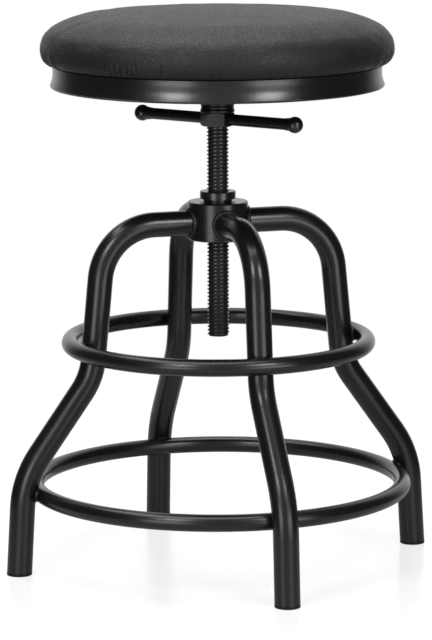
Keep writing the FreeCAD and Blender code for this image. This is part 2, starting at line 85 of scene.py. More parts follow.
# %% Stand the camera in front of the stool
VIEW_TURN = np.radians(-18.11)
VIEW_REACH = 3.5113
VIEW_HEIGHT = 0.8558
VIEW_PITCH = np.radians(9.833)
VIEW_YAW = np.radians(-0.039)
VIEW_ROLL = np.radians(-0.254)
FOCAL_PIXELS = 3524.0
PICTURE_HEIGHT = 640.0
SENSOR_WIDTH = 36.0
UP = np.array([0.0, 0.0, 1.0])
NEAR = np.array([np.sin(VIEW_TURN), -np.cos(VIEW_TURN), 0.0])
RIGHT = np.array([np.cos(VIEW_TURN), np.sin(VIEW_TURN), 0.0])


def camera_axes(yaw, pitch, roll):
    """The camera's right, up and forward: level axes turned by the yaw, tipped down by the
    pitch, then rolled about the line of sight."""
    ahead = RIGHT * np.sin(yaw) - NEAR * np.cos(yaw)
    level = RIGHT * np.cos(yaw) + NEAR * np.sin(yaw)
    forward = ahead * np.cos(pitch) - UP * np.sin(pitch)
    above = np.cross(level, forward)
    right = level * np.cos(roll) + above * np.sin(roll)
    return right, above * np.cos(roll) - level * np.sin(roll), forward


def placed(right, above, backward, place):
    """A matrix whose columns are the three axes and the place."""
    matrix = np.eye(4)
    matrix[:3] = np.stack([right, above, backward, place], axis=1)
    return Matrix(matrix.tolist())


lens = bpy.data.cameras.new("portrait_camera")
lens.sensor_width = SENSOR_WIDTH
lens.lens = FOCAL_PIXELS / PICTURE_HEIGHT * SENSOR_WIDTH
camera = bpy.data.objects.new("portrait_camera", lens)
scene.collection.objects.link(camera)
view_right, view_above, view_forward = camera_axes(VIEW_YAW, VIEW_PITCH, VIEW_ROLL)
view_from = NEAR * VIEW_REACH + UP * VIEW_HEIGHT
camera.matrix_world = placed(view_right, view_above, -view_forward, view_from)
scene.camera = camera
scene.view_settings.view_transform = "Standard"
print("camera at", np.round(camera.location, 3).tolist(), "lens", round(lens.lens, 1), "mm")

# %% [markdown]
# ## Wiring nodes
#
# Materials, the world and the floor are all made of shader nodes. A few short
# helpers keep their recipes readable. The first adds one node, sets its options,
# and fills each named input with a plain value or with another node's output.
# The others are the small steps that nearly every recipe needs.

# %% Helpers for shader nodes
WHITE = (1.0, 1.0, 1.0, 1.0)


def add(tree, kind, values=None, **options):
    """One node in the tree. An input takes a plain value, or a link if it is given a socket."""
    made = tree.nodes.new(kind)
    for option, choice in options.items():
        setattr(made, option, choice)
    for name, value in (values or {}).items():
        if isinstance(value, bpy.types.NodeSocket):
            tree.links.new(value, made.inputs[name])
        else:
            made.inputs[name].default_value = value
    return made


def feed(tree, shader, sockets):
    """Links each given socket to the shader's input of that name."""
    for name, socket in sockets.items():
        tree.links.new(socket, shader.inputs[name])


def calc(tree, operation, first, second=0.0):
    """The result of one sum on two numbers or sockets."""
    return add(tree, "ShaderNodeMath", {0: first, 1: second}, operation=operation).outputs[0]


def ramp(tree, value, start, stop, first, last, easing="SMOOTHSTEP"):
    """From the first level to the last as the value goes from start to stop, eased or straight."""
    return add(tree, "ShaderNodeMapRange", {
        "Value": value, "From Min": start, "From Max": stop, "To Min": first, "To Max": last,
    }, interpolation_type=easing).outputs["Result"]


def mix(tree, share, first, last):
    """A number between two others: first where the share is 0, last where it is 1."""
    return add(tree, "ShaderNodeMix", {0: share, 2: first, 3: last}, data_type="FLOAT").outputs[0]


def mix_tones(tree, share, first, last):
    """A colour between two others: first where the share is 0, last where it is 1."""
    return add(tree, "ShaderNodeMix", {0: share, 6: first, 7: last}, data_type="RGBA").outputs[2]


print("node helpers: add, feed, calc, ramp, mix, mix_tones")

# %% [markdown]
# ## The white studio
#
# The photograph has a white floor that runs into a white background, soft lamps
# on stands to each side of the camera, and a wide one overhead. Black paint shows
# its shape almost only by what it reflects: the lamps draw the paired streaks on
# the tubes, the white room behind the stool brightens every edge, and dark screens
# at both flanks leave the rest black. So a mirrored ray finds a dim room towards
# the camera, darkness at the flanks and white behind the stool, and the room is
# plain white where the camera looks straight at it.

# %% The room around the stool
AMBIENT = 0.32
DIM_FRONT = 0.42
DARK_FLANK = 0.06
FRONT_ENDS = (-0.95, -0.45)
BACK_STARTS = (0.55, 1.0)


def far_wall(tree, way):
    """How bright a mirrored direction is. Laid flat, its share along the line of sight runs
    from -1 at the camera to 1 behind the stool. One smooth step goes down from the dim front
    to the dark flanks, and another up to 1 behind."""
    flat = add(tree, "ShaderNodeVectorMath", {0: way, 1: (1.0, 1.0, 0.0)}, operation="MULTIPLY")
    level = add(tree, "ShaderNodeVectorMath", {0: flat.outputs[0]}, operation="NORMALIZE")
    behind = add(tree, "ShaderNodeVectorMath", {
        0: level.outputs[0], 1: tuple(-NEAR)}, operation="DOT_PRODUCT").outputs["Value"]
    front = ramp(tree, behind, *FRONT_ENDS, DIM_FRONT, DARK_FLANK)
    return calc(tree, "ADD", front, ramp(tree, behind, *BACK_STARTS, 0.0, 1.0 - DARK_FLANK))


def studio_level(tree, ray, given, mirrored):
    """How bright the studio is: what it gives as soft light, its mirrored level for glossy
    rays, and plain white for rays that look straight at it."""
    indirect = mix(tree, ray["Is Glossy Ray"], given, mirrored)
    straight = calc(tree, "MAXIMUM", ray["Is Camera Ray"], ray["Is Transmission Ray"])
    return mix(tree, straight, indirect, 1.0)


room = bpy.data.worlds.new("white_studio")
room.use_nodes = True
tree = room.node_tree
tree.nodes.clear()
wall = far_wall(tree, add(tree, "ShaderNodeTexCoord").outputs["Generated"])
ray = add(tree, "ShaderNodeLightPath").outputs
level = studio_level(tree, ray, AMBIENT, wall)
sky = add(tree, "ShaderNodeBackground", {"Color": WHITE, "Strength": level})
add(tree, "ShaderNodeOutputWorld", {"Surface": sky.outputs[0]})
scene.world = room
print("room: ambient", AMBIENT, "front", DIM_FRONT, "flank", DARK_FLANK)

# %% [markdown]
# ## Soft lamps
#
# A softbox is a lamp behind a sheet of white cloth. One tall softbox on each side
# would draw a streak of one brightness down each leg, but the photograph's streaks
# fade towards the floor, while the rim under the cushion has two strong highlights.
# So each side is a stack of four lamps: a dim one at the floor, a low one for the
# shins, a dim one in the middle, and a bright one above seat height. A wide lamp
# overhead lights the cushion's top.

# %% Stand the lamps
STAND_REACH = 0.95
LAMPS = [  # name, turn, reach, height of its middle, height of its aim, width, height, glow
    ("left_floor_softbox", -28.0, STAND_REACH, 0.07, 0.07, 0.38, 0.12, 2.3),
    ("left_low_softbox", -28.0, STAND_REACH, 0.235, 0.235, 0.38, 0.20, 3.6),
    ("left_middle_softbox", -28.0, STAND_REACH, 0.46, 0.46, 0.32, 0.24, 1.5),
    ("left_high_softbox", -28.0, STAND_REACH, 0.84, 0.70, 0.26, 0.34, 11.0),
    ("right_floor_softbox", 36.0, STAND_REACH, 0.075, 0.075, 0.46, 0.14, 2.1),
    ("right_low_softbox", 36.0, STAND_REACH, 0.245, 0.245, 0.46, 0.18, 3.6),
    ("right_middle_softbox", 35.5, STAND_REACH, 0.46, 0.46, 0.36, 0.24, 1.5),
    ("right_high_softbox", 34.5, STAND_REACH, 0.84, 0.70, 0.27, 0.34, 11.6),
    ("overhead_softbox", -80.0, 0.22, 1.75, 0.50, 1.60, 1.60, 3.5),
]


def softbox(name, turn, reach, middle, aim, width, height, glow):
    """A rectangular lamp. It stands turned from the camera to the right by degrees, at a reach
    from the axis, with its middle at a height, and faces the axis at the aim's height. Its
    power is its glow times its area times pi."""
    turn = np.radians(turn)
    stand_at = reach * (NEAR * np.cos(turn) + RIGHT * np.sin(turn)) + middle * UP
    outward = stand_at - aim * UP
    outward /= np.linalg.norm(outward)
    across = np.cross(UP, outward)
    across /= np.linalg.norm(across)
    lamp = bpy.data.lights.new(name, "AREA")
    lamp.shape = "RECTANGLE"
    lamp.size = width
    lamp.size_y = height
    lamp.energy = glow * np.pi * width * height
    stand = bpy.data.objects.new(name, lamp)
    stand.matrix_world = placed(across, np.cross(outward, across), outward, stand_at)
    stand.visible_camera = False
    scene.collection.objects.link(stand)
    return round(float(lamp.energy), 1)


print("softbox watts:", [softbox(*lamp) for lamp in LAMPS])

# %% [markdown]
# ## The floor
#
# The photograph's floor is so bright that only a faint shadow and a blurred mirror
# image are left under the feet. A white floor lit that brightly would also flood
# the stool from below. So the floor is painted grey, and a fill that only straight
# rays see lifts it to white in the picture. Mirrored rays see a weaker glint, which
# keeps the feet dark. Further out it fades into the room's own white.

# %% Lay the floor
FLOOR_REACH = 8.0
FLOOR_LINES = 9
FLOOR_GREY = (0.30, 0.30, 0.30, 1.0)
FLOOR_FILL = 0.66
FLOOR_GLINT = 0.20
FADE_ENDS = (0.35, 1.1)
FAR_LIGHT = 0.6


def floor_sheet(reach, steps):
    """A level square grid about the axis: x and y run evenly from minus reach to reach, z is 0."""
    line = np.linspace(-reach, reach, steps)
    x, y = np.meshgrid(line, line, indexing="ij")
    points = np.stack([x, y, np.zeros_like(x)], axis=-1).reshape(-1, 3)
    corner = (np.arange(steps - 1)[:, None] * steps + np.arange(steps - 1)).reshape(-1)
    faces = np.stack([corner, corner + steps, corner + steps + 1, corner + 1], axis=1)
    sheet = bpy.data.meshes.new("studio_floor")
    sheet.from_pydata(points.tolist(), [], faces.tolist())
    return sheet


floor_paint = bpy.data.materials.new("studio_floor")
floor_paint.use_nodes = True
tree = floor_paint.node_tree
tree.nodes.clear()
ray = add(tree, "ShaderNodeLightPath").outputs
place = add(tree, "ShaderNodeTexCoord").outputs["Object"]
reach = add(tree, "ShaderNodeVectorMath", {0: place}, operation="LENGTH").outputs["Value"]
fill = calc(tree, "MULTIPLY", ray["Is Camera Ray"], FLOOR_FILL)
glint = calc(tree, "MULTIPLY", ray["Is Glossy Ray"], FLOOR_GLINT)
near = add(tree, "ShaderNodeBsdfPrincipled", {
    "Base Color": FLOOR_GREY, "Roughness": 0.24, "Specular IOR Level": 0.10,
    "Emission Color": WHITE, "Emission Strength": calc(tree, "ADD", fill, glint)})
level = studio_level(tree, ray, FAR_LIGHT, far_wall(tree, place))
far = add(tree, "ShaderNodeEmission", {"Color": WHITE, "Strength": level})
fade = ramp(tree, reach, *FADE_ENDS, 0.0, 1.0)
blend = add(tree, "ShaderNodeMixShader", {0: fade, 1: near.outputs[0], 2: far.outputs[0]})
add(tree, "ShaderNodeOutputMaterial", {"Surface": blend.outputs[0]})
floor = bpy.data.objects.new("studio_floor", floor_sheet(FLOOR_REACH, FLOOR_LINES))
floor.data.materials.append(floor_paint)
scene.collection.objects.link(floor)
floor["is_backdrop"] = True
print("floor:", len(floor.data.polygons), "faces")

# %% [markdown]
# ## Effects that several finishes share
#
# Paint, plating, plastic and upholstery all get their life from small changes
# over the surface. Each effect is a node group with named sockets, built once and
# placed in several materials with its own values. A group only hands out colours,
# masks, numbers and normals. The shader itself stays in the material.

# %% Start a shared effect
GREY = (0.5, 0.5, 0.5, 1.0)


def effect(name, takes, gives):
    """An empty node group. takes lists (socket, type, usual value), gives lists (socket, type).
    Also gives the sockets to take values from, and the place on the piece."""
    group = bpy.data.node_groups.new(name, "ShaderNodeTree")
    for socket, kind, usual in takes:
        made = group.interface.new_socket(
            socket, in_out="INPUT", socket_type="NodeSocket" + kind)
        made.default_value = usual
    for socket, kind in gives:
        group.interface.new_socket(socket, in_out="OUTPUT", socket_type="NodeSocket" + kind)
    place = add(group, "ShaderNodeTexCoord").outputs["Object"]
    return group, group.nodes.new("NodeGroupInput").outputs, place


def noise(tree, place, scale, detail, roughness=0.5, distortion=0.0, **options):
    """Cloudy noise at a place. Detail adds finer clouds, roughness makes them stronger, and
    distortion swirls them."""
    return add(tree, "ShaderNodeTexNoise", {
        "Vector": place, "Scale": scale, "Detail": detail, "Roughness": roughness,
        "Distortion": distortion}, **options)


def around(tree, middle, drift, amount):
    """A value that drifts about its middle: the middle plus the drift times the amount."""
    return calc(tree, "ADD", middle, calc(tree, "MULTIPLY", drift, amount))


def bump(tree, depth, height):
    """The normal of a surface that a height from 0 to 1 lifts by up to the depth in metres."""
    return add(tree, "ShaderNodeBump", {
        "Strength": 1.0, "Distance": depth, "Height": height}).outputs["Normal"]


def about_axis(tree, place):
    """A place's distance from the lift axis, which is the length of (x, y, 0), and its height."""
    axes = add(tree, "ShaderNodeSeparateXYZ", {0: place}).outputs
    flat = add(tree, "ShaderNodeCombineXYZ", {0: axes[0], 1: axes[1]}).outputs[0]
    radius = add(tree, "ShaderNodeVectorMath", {0: flat}, operation="LENGTH").outputs["Value"]
    return radius, axes[2]


print("effect helpers: effect, noise, around, bump, about_axis")

# %% [markdown]
# Sprayed and baked paint is never quite even. It flows into a faint orange peel of
# one to three millimetres, and its gloss and tone drift slowly along a tube. One
# slow noise drives the drift, and one fine noise the peel.

# %% Paint skin
DRIFT_SCALE = 16.0
CLOUD_ENDS = (0.3, 0.7)
paint_skin, take, place = effect(
    "paint_skin",
    [("Tone", "Color", GREY), ("Tone Drift", "Float", 0.1), ("Gloss", "Float", 0.4),
     ("Gloss Drift", "Float", 0.1), ("Peel Scale", "Float", 800.0),
     ("Peel Depth", "Float", 0.00001)],
    [("Color", "Color"), ("Roughness", "Float"), ("Normal", "Vector")],
)
slow = noise(paint_skin, place, DRIFT_SCALE, detail=4.0, roughness=0.55).outputs["Fac"]
fine = noise(paint_skin, place, take["Peel Scale"], detail=2.0).outputs["Fac"]
swing = ramp(paint_skin, slow, *CLOUD_ENDS, -1.0, 1.0, "LINEAR")
speck = ramp(paint_skin, fine, *CLOUD_ENDS, -0.5, 0.5, "LINEAR")
drift = calc(paint_skin, "ADD", swing, speck)
tint = around(paint_skin, 1.0, drift, take["Tone Drift"])
color = add(paint_skin, "ShaderNodeVectorMath", {0: take["Tone"], "Scale": tint}, operation="SCALE")
add(paint_skin, "NodeGroupOutput", {
    "Color": color.outputs[0],
    "Roughness": around(paint_skin, take["Gloss"], drift, take["Gloss Drift"]),
    "Normal": bump(paint_skin, take["Peel Depth"], fine)})
print("effect:", paint_skin.name, "with", len(paint_skin.nodes), "nodes")

# %% [markdown]
# Turned pieces carry the lathe tool's marks: fine rings round the axis, so they
# change with height and with distance from the axis, but not with the angle.
# Noise that is sampled at (radius, height) alone gives just that.

# %% Lathe rings
PATCH_SCALE = 60.0
lathe_rings, take, place = effect(
    "lathe_rings",
    [("Gloss", "Float", 0.35), ("Gloss Drift", "Float", 0.1), ("Ring Scale", "Float", 2500.0),
     ("Ring Depth", "Float", 0.00001)],
    [("Mask", "Float"), ("Roughness", "Float"), ("Normal", "Vector")],
)
radius, height = about_axis(lathe_rings, place)
track = add(lathe_rings, "ShaderNodeCombineXYZ", {0: radius, 1: height}).outputs[0]
rings = noise(
    lathe_rings, track, take["Ring Scale"], detail=2.0, noise_dimensions="2D").outputs["Fac"]
patch = noise(lathe_rings, place, PATCH_SCALE, detail=3.0).outputs["Fac"]
drift = calc(lathe_rings, "SUBTRACT", calc(lathe_rings, "ADD", rings, patch), 1.0)
add(lathe_rings, "NodeGroupOutput", {
    "Mask": patch,
    "Roughness": around(lathe_rings, take["Gloss"], drift, take["Gloss Drift"]),
    "Normal": bump(lathe_rings, take["Ring Depth"], rings)})
print("effect:", lathe_rings.name, "with", len(lathe_rings.nodes), "nodes")

# %% [markdown]
# The upholstery is black leathercloth. Its skin is pressed with a pebble grain of
# about two millimetres, and it is slightly paler on the pebbles than in the creases
# between them. Cells of a Voronoi pattern are the pebbles, bent a little by noise so
# that no two look alike.

# %% Pebble grain
BEND_SCALE = 420.0
BEND_REACH = 0.0012
CLOUD_SCALE = 55.0
DOME_ENDS = (0.12, 0.62)
DOME_SHADE = 0.6
CLOUD_SHADE = 0.5
CLOUD_RELIEF = 0.8
pebble_grain, take, place = effect(
    "pebble_grain",
    [("Pebble", "Color", GREY), ("Crease", "Color", GREY), ("Gloss", "Float", 0.5),
     ("Gloss Drift", "Float", 0.1), ("Pebble Scale", "Float", 650.0)],
    [("Color", "Color"), ("Roughness", "Float"), ("Height", "Float")],
)
bend = noise(pebble_grain, place, BEND_SCALE, detail=2.0).outputs["Color"]
shift = add(pebble_grain, "ShaderNodeVectorMath", {0: bend, "Scale": BEND_REACH}, operation="SCALE")
bent = add(pebble_grain, "ShaderNodeVectorMath", {0: place, 1: shift.outputs[0]}, operation="ADD")
cells = add(pebble_grain, "ShaderNodeTexVoronoi", {
    "Vector": bent.outputs[0], "Scale": take["Pebble Scale"], "Smoothness": 0.6},
    feature="SMOOTH_F1").outputs["Distance"]
dome = ramp(pebble_grain, cells, *DOME_ENDS, 1.0, 0.0)
cloud = noise(pebble_grain, place, CLOUD_SCALE, detail=5.0, roughness=0.6).outputs["Fac"]
shade = around(pebble_grain, calc(pebble_grain, "MULTIPLY", dome, DOME_SHADE), cloud, CLOUD_SHADE)
drift = calc(pebble_grain, "SUBTRACT", cloud, dome)
add(pebble_grain, "NodeGroupOutput", {
    "Color": mix_tones(pebble_grain, shade, take["Crease"], take["Pebble"]),
    "Roughness": around(pebble_grain, take["Gloss"], drift, take["Gloss Drift"]),
    "Height": around(pebble_grain, dome, cloud, CLOUD_RELIEF)})
print("effect:", pebble_grain.name, "with", len(pebble_grain.nodes), "nodes")

# %% [markdown]
# ## The finishes
#
# Each finish is one Principled shader with values for this stool's own material.
# Whatever is the same all over is set on the shader's socket, and whatever changes
# comes from an effect. The black of the frame is a satin powder coat, while the
# seat's rim and the balls of the cross bar have a smoother, deeper gloss.

# %% Paints and plastic
PAINTS = {  # tone, tone drift, gloss, gloss drift, peel scale, peel depth, specular level
    "black_powder_coat": ((0.005, 0.005, 0.0052), 0.12, 0.25, 0.03, 900.0, 0.000006, 0.50),
    "black_gloss_paint": ((0.004, 0.004, 0.0042), 0.10, 0.265, 0.02, 420.0, 0.000002, 0.66),
    "weld_bead": ((0.006, 0.006, 0.0062), 0.18, 0.34, 0.06, 700.0, 0.000012, 0.40),
    "black_plastic": ((0.006, 0.006, 0.006), 0.15, 0.50, 0.08, 1500.0, 0.000020, 0.25),
}


def finish(name, sockets):
    """A new material with one Principled shader, whose named sockets are set."""
    made = bpy.data.materials.new(name)
    made.use_nodes = True
    made.node_tree.nodes.clear()
    shader = add(made.node_tree, "ShaderNodeBsdfPrincipled", sockets)
    add(made.node_tree, "ShaderNodeOutputMaterial", {"Surface": shader.outputs[0]})
    return made, shader


def painted(name, tone, tone_drift, gloss, gloss_drift, peel_scale, peel_depth, specular):
    """A paint or plastic finish: the paint skin effect feeds colour, roughness and normal."""
    made, shader = finish(name, {"Specular IOR Level": specular})
    skin = add(made.node_tree, "ShaderNodeGroup", {
        "Tone": (*tone, 1.0), "Tone Drift": tone_drift, "Gloss": gloss,
        "Gloss Drift": gloss_drift, "Peel Scale": peel_scale, "Peel Depth": peel_depth,
    }, node_tree=paint_skin).outputs
    feed(made.node_tree, shader, {
        "Base Color": skin["Color"], "Roughness": skin["Roughness"], "Normal": skin["Normal"]})
    return made


finishes = {name: painted(name, *values) for name, values in PAINTS.items()}
print("paints:", sorted(finishes))

# %% Turned and plated metal
BLACKENED = {"Specular IOR Level": 0.6}
BARE_METAL = {"Metallic": 1.0}
METALS = {  # bright tone, dull tone, gloss, gloss drift, ring scale, ring depth, other sockets
    "black_screw": (
        (0.008, 0.008, 0.0084), (0.004, 0.004, 0.0042), 0.25, 0.08, 1800.0, 0.000003, BLACKENED),
    "bearing_steel": (
        (0.050, 0.050, 0.052), (0.022, 0.022, 0.023), 0.44, 0.12, 3000.0, 0.000004, BARE_METAL),
    "zinc_fastener": (
        (0.66, 0.67, 0.68), (0.48, 0.49, 0.50), 0.38, 0.15, 900.0, 0.000005, BARE_METAL),
    "bronze_bush": (
        (0.60, 0.42, 0.20), (0.42, 0.28, 0.12), 0.34, 0.12, 2600.0, 0.000005, BARE_METAL),
}


def turned(name, bright, dull, gloss, gloss_drift, ring_scale, ring_depth, sockets):
    """A turned metal finish: lathe rings feed roughness and normal, and their patches mix two
    tones of the metal."""
    made, shader = finish(name, sockets)
    tree = made.node_tree
    marks = add(tree, "ShaderNodeGroup", {
        "Gloss": gloss, "Gloss Drift": gloss_drift, "Ring Scale": ring_scale,
        "Ring Depth": ring_depth}, node_tree=lathe_rings).outputs
    feed(tree, shader, {
        "Base Color": mix_tones(tree, marks["Mask"], (*dull, 1.0), (*bright, 1.0)),
        "Roughness": marks["Roughness"], "Normal": marks["Normal"]})
    return made


finishes.update({name: turned(name, *values) for name, values in METALS.items()})
print("finishes so far:", len(finishes))

# %% [markdown]
# The nut keeps the crests of the lift screw's thread clean, while old oil and dust lie
# dull in its roots, and the roots' darker colour is painted shade. A point's distance
# from the lift axis tells one from the other, so a smooth step in that distance is the mask.

# %% Thread roots
SCREW_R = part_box("lift_screw")[1][0]
ROOT_DEPTH = 0.0014
CREST_DEPTH = 0.0007
# painted shade: the near-black colour that the thread's roots are given
ROOT_SHADE_TONE = (0.001, 0.001, 0.001, 1.0)
ROOT_ROUGHNESS = 0.75
thread_roots, take, place = effect(
    "thread_roots",
    [("Root Radius", "Float", 0.010), ("Crest Radius", "Float", 0.011)],
    [("Mask", "Float")],
)
radius, _ = about_axis(thread_roots, place)
add(thread_roots, "NodeGroupOutput", {
    "Mask": ramp(thread_roots, radius, take["Root Radius"], take["Crest Radius"], 1.0, 0.0)})


def dulled_and_shaded_roots(made, root, crest):
    """Dulls a turned finish and paints shade into its thread roots: where the mask is 1,
    roughness goes to the dull roots' and colour to the painted shade's.
    """
    tree = made.node_tree
    shader = next(node for node in tree.nodes if node.type == "BSDF_PRINCIPLED")
    clean = {name: shader.inputs[name].links[0].from_socket for name in ("Base Color", "Roughness")}
    mask = add(tree, "ShaderNodeGroup", {
        "Root Radius": root, "Crest Radius": crest}, node_tree=thread_roots).outputs["Mask"]
    feed(tree, shader, {
        # painted shade in the roots: the colour goes towards near-black where the mask is 1
        "Base Color": mix_tones(tree, mask, clean["Base Color"], ROOT_SHADE_TONE),
        "Roughness": mix(tree, mask, clean["Roughness"], ROOT_ROUGHNESS)})


dulled_and_shaded_roots(finishes["black_screw"], SCREW_R - ROOT_DEPTH, SCREW_R - CREST_DEPTH)
print("screw radius", round(SCREW_R, 4))

# %% [markdown]
# Under the seat the plywood board is stained black, so that it doesn't show. The
# stain sinks in unevenly: its face still shows long grain, and its edge shows the
# plies as bands. The grain is noise stretched along one direction, and the plies
# are bands by height, which a wave along Z gives.

# %% Plywood
GRAIN_STRETCH = (6.0, 95.0, 30.0)
GRAIN_SCALE = 3.0
GRAIN_SHARE = 0.85
GRAIN_ROUGHNESS = (0.55, 0.8)
GRAIN_DEPTH = 0.00012
PLY_SHARE = 0.2
STAIN = [(0.30, (0.010, 0.009, 0.008, 1.0)), (0.72, (0.044, 0.038, 0.033, 1.0))]
plywood, shader = finish("plywood", {"Specular IOR Level": 0.3})
tree = plywood.node_tree
place = add(tree, "ShaderNodeTexCoord").outputs["Object"]
along = add(tree, "ShaderNodeMapping", {"Vector": place, "Scale": GRAIN_STRETCH}).outputs[0]
grain = noise(
    tree, along, GRAIN_SCALE, detail=6.0, roughness=0.62, distortion=0.35).outputs["Fac"]
plies = add(tree, "ShaderNodeTexWave", {
    "Vector": place, "Scale": 120.0, "Distortion": 0.4},
    wave_type="BANDS", bands_direction="Z").outputs["Fac"]
tone = add(tree, "ShaderNodeValToRGB", {
    0: around(tree, calc(tree, "MULTIPLY", grain, GRAIN_SHARE), plies, PLY_SHARE)})
for element, (position, stain) in zip(tone.color_ramp.elements, STAIN):
    element.position = position
    element.color = stain
feed(tree, shader, {
    "Base Color": tone.outputs["Color"],
    "Roughness": ramp(tree, grain, 0.0, 1.0, *GRAIN_ROUGHNESS, "LINEAR"),
    "Normal": bump(tree, GRAIN_DEPTH, grain)})
finishes["plywood"] = plywood
print("finishes so far:", len(finishes))

# %% [markdown]
# The leathercloth is nearly black, but it looks grey on top, where it reflects the
# white room at a flat angle. A middling roughness and a light sheen give that. The
# pebbles go through a bump node here in the material, so that their depth can be
# judged next to the shader. Light hardly gets into the gathers round the lower edge,
# so a value stored on the cushion's own points paints shade there: it darkens the
# cloth's colour inside them and makes it rougher.

# %% Leathercloth
PEBBLE_TONE = (0.0140, 0.0133, 0.0142, 1.0)
CREASE_TONE = (0.0046, 0.0044, 0.0047, 1.0)
PEBBLE_DEPTH = 0.00015
# the colour of the painted shade inside the gathers
FOLD_SHADE_TONE = (0.0008, 0.0008, 0.0008, 1.0)
FOLD_ROUGHNESS = 0.95
leathercloth, shader = finish("black_upholstery", {
    "Specular IOR Level": 0.28, "Sheen Weight": 0.02, "Sheen Roughness": 0.45})
tree = leathercloth.node_tree
skin = add(tree, "ShaderNodeGroup", {
    "Pebble": PEBBLE_TONE, "Crease": CREASE_TONE, "Gloss": 0.50, "Gloss Drift": 0.16,
    "Pebble Scale": 450.0}, node_tree=pebble_grain).outputs
# painted shade: inside the gathers the colour goes towards near-black, by a share stored on the
# cushion's points
fold_shade_share = add(tree, "ShaderNodeAttribute", attribute_name="gather_shade").outputs["Fac"]
feed(tree, shader, {
    "Base Color": mix_tones(tree, fold_shade_share, skin["Color"], FOLD_SHADE_TONE),
    "Roughness": mix(tree, fold_shade_share, skin["Roughness"], FOLD_ROUGHNESS),
    "Normal": bump(tree, PEBBLE_DEPTH, skin["Height"])})
finishes["black_upholstery"] = leathercloth
finishes["foam"] = leathercloth  # the cushion takes the foam's place, so it is never seen
print("finishes:", len(finishes))

# %% Dress the CAD pieces
slot_of = {part["node"]: part["material_slot"] for part in frame["record"]["subparts"]}
for name, piece in nodes.items():
    for slot in piece.material_slots:
        slot.material = finishes[slot_of[name]]
dressed = list(slot_of.values())
print("dressed:", {slot: dressed.count(slot) for slot in sorted(set(dressed))})

# %% [markdown]
# ## The cushion
#
# The seat is a plywood disc with foam on it, and leathercloth drawn over the foam
# and stapled under the board. Its outline is a chain of arcs: a flat crown, a
# shoulder, a full roll at the side, and a tuck that runs back under the seat. Just
# above the rim the tuck stops short, which leaves the thin dark line all round. The
# surface is that outline carried round the axis, as a grid of angle and outline.
# The grid closes across the top of the board, so the cushion is a real closed body
# and air pressure in a cloth simulation can plump it up. The simulation runs on a
# coarse grid that starts a little slack, and shows where such a cover lies uneven.
# A fine grid then follows the measured outline with that unevenness, and gets the
# creases, which a coarse one couldn't show.

# %% The cushion's measures
SEAT_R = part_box("seat_cover")[1][0]
CROWN_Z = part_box("seat_cover")[1][2]
SEAM_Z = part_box("seat_cover")[0][2]
BOARD_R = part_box("seat_board")[1][0]
BOARD_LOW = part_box("seat_board")[0][2]
BOARD_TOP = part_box("seat_board")[1][2]
TUCK_HEIGHT = 0.0162
TUCK_DEPTH = 0.0123
TUCK = (TUCK_HEIGHT ** 2 + TUCK_DEPTH ** 2) / (2 * TUCK_DEPTH)
SHADOW_GAP = 0.0019
TUCK_TURN = -np.degrees(np.arcsin((TUCK_HEIGHT - SHADOW_GAP) / TUCK))
ROLL = 0.025
SHOULDER = 0.0915
ROLL_TURN = 59.0
SHOULDER_TURN = 84.3
CROWN_TURN = 89.85
UNDER_GAP = 0.0008
HEM_GAP = 0.0004
HEM_REACH = 0.1513
INNER_RADII = (0.10, 0.004)
ROWS = {"crown": 18, "shoulder": 14, "roll": 26, "tuck": 16, "under": 4, "hem": 5}
print("tuck radius", round(TUCK, 4), "ends at", round(TUCK_TURN, 1), "degrees")


# %% The cushion's outline
def heading(angle):
    """The unit direction at an angle in degrees, from outwards towards up."""
    return np.array([np.cos(np.radians(angle)), np.sin(np.radians(angle))])


def arc_steps(middle, radius, start, stop, count):
    """Points on an arc about its middle, from one angle to another in degrees, without the last:
    the middle plus the radius times the direction at each angle."""
    return np.asarray(middle) + radius * heading(np.linspace(start, stop, count, endpoint=False)).T


def next_middle(middle, radius, next_radius, angle):
    """Where the next arc's middle lies, so that both arcs share a tangent at that angle: the
    middle moved that way by the difference of the radii."""
    return np.asarray(middle) + (radius - next_radius) * heading(angle)


def level_rows(radius, height):
    """Rows of (radius, height) at one height."""
    return np.stack([radius, np.full_like(radius, height)], axis=1)


def cushion_outline():
    """(radius, height) rows from near the crown's middle, over the side and the hem, and back
    across the board."""
    tuck_middle = (SEAT_R - TUCK, SEAM_Z + TUCK_HEIGHT)
    roll_middle = (SEAT_R - ROLL, SEAM_Z + TUCK_HEIGHT)
    shoulder_middle = next_middle(roll_middle, ROLL, SHOULDER, ROLL_TURN)
    edge = shoulder_middle + SHOULDER * heading(SHOULDER_TURN)
    crown = edge[0] / heading(SHOULDER_TURN)[0]
    crown_middle = next_middle(shoulder_middle, SHOULDER, crown, SHOULDER_TURN)
    tuck_end = SEAT_R - TUCK + TUCK * heading(TUCK_TURN)[0]
    under = np.linspace(tuck_end, BOARD_R + UNDER_GAP, ROWS["under"])
    hem = np.linspace(BOARD_R + HEM_GAP, HEM_REACH, ROWS["hem"])
    return np.concatenate([
        arc_steps(crown_middle, crown, CROWN_TURN, SHOULDER_TURN, ROWS["crown"]),
        arc_steps(shoulder_middle, SHOULDER, SHOULDER_TURN, ROLL_TURN, ROWS["shoulder"]),
        arc_steps(roll_middle, ROLL, ROLL_TURN, 0.0, ROWS["roll"]),
        arc_steps(tuck_middle, TUCK, 0.0, TUCK_TURN, ROWS["tuck"]),
        level_rows(under, SEAM_Z + SHADOW_GAP),
        level_rows(hem, SEAM_Z),
        level_rows(np.array([HEM_REACH, BOARD_R]), BOARD_LOW),
        level_rows(np.array([BOARD_R, *INNER_RADII]), BOARD_TOP),
    ])


outline = cushion_outline()
print("outline:", len(outline), "rows, widest", round(outline[:, 0].max(), 4))
print("outline's top", round(outline[:, 1].max(), 4), "of", round(CROWN_Z, 4))

